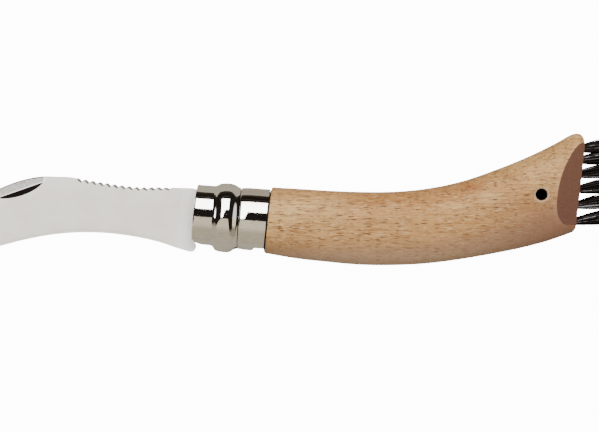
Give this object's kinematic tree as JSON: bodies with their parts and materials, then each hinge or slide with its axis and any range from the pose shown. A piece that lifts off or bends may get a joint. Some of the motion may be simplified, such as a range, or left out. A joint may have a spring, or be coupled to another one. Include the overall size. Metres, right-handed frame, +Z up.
{
  "type": "mushroom knife",
  "caption": "Folding mushroom knife: bent wooden handle, curved blade with a serrated back, turning lock ring, and a bristle brush in the handle's end.",
  "frame": {"origin": "centre of the bottom of the bounding box, with the knife opened and lying on its side", "axes": "+X along the collar from the blade to the brush, +Y from the cutting edge to the blade's back, +Z up through the handle's thickness"},
  "size_m": [0.2142, 0.0544, 0.0215],
  "materials": {
    "beech": "varnished pale beech with short dark flecks",
    "collar_steel": "mirror-polished stainless steel",
    "blade_steel": "fine satin-ground stainless steel",
    "bristle": "stiff dark bristles with a slight gloss",
    "staple_wire": "drawn steel wire"
  },
  "bodies": {
    "grip": {"handle": "beech", "fixed_collar": "collar_steel", "pivot_rivet": "collar_steel", "brush_bristles_1": "bristle", "brush_bristles_2": "bristle", "brush_bristles_3": "bristle", "tuft_staple_01": "staple_wire", "tuft_staple_02": "staple_wire", "tuft_staple_03": "staple_wire", "tuft_staple_04": "staple_wire", "tuft_staple_05": "staple_wire", "tuft_staple_06": "staple_wire", "tuft_staple_07": "staple_wire", "tuft_staple_08": "staple_wire", "tuft_staple_09": "staple_wire", "tuft_staple_10": "staple_wire", "tuft_staple_11": "staple_wire", "tuft_staple_12": "staple_wire"},
    "folding_blade": {"blade": "blade_steel"},
    "ring": {"lock_ring": "collar_steel"}
  },
  "joints": [
    {"name": "blade_fold", "type": "hinge", "parent": "grip", "child": "folding_blade", "pos_m": [-0.01888, -0.0091, 0.01075], "axis": [0, 0, 1], "range_deg": [0, 177]},
    {"name": "ring_turn", "type": "hinge", "parent": "grip", "child": "ring", "pos_m": [-0.01888, -0.0071, 0.01075], "axis": [-1, 0, 0], "range_deg": [0, 80]}
  ]
}
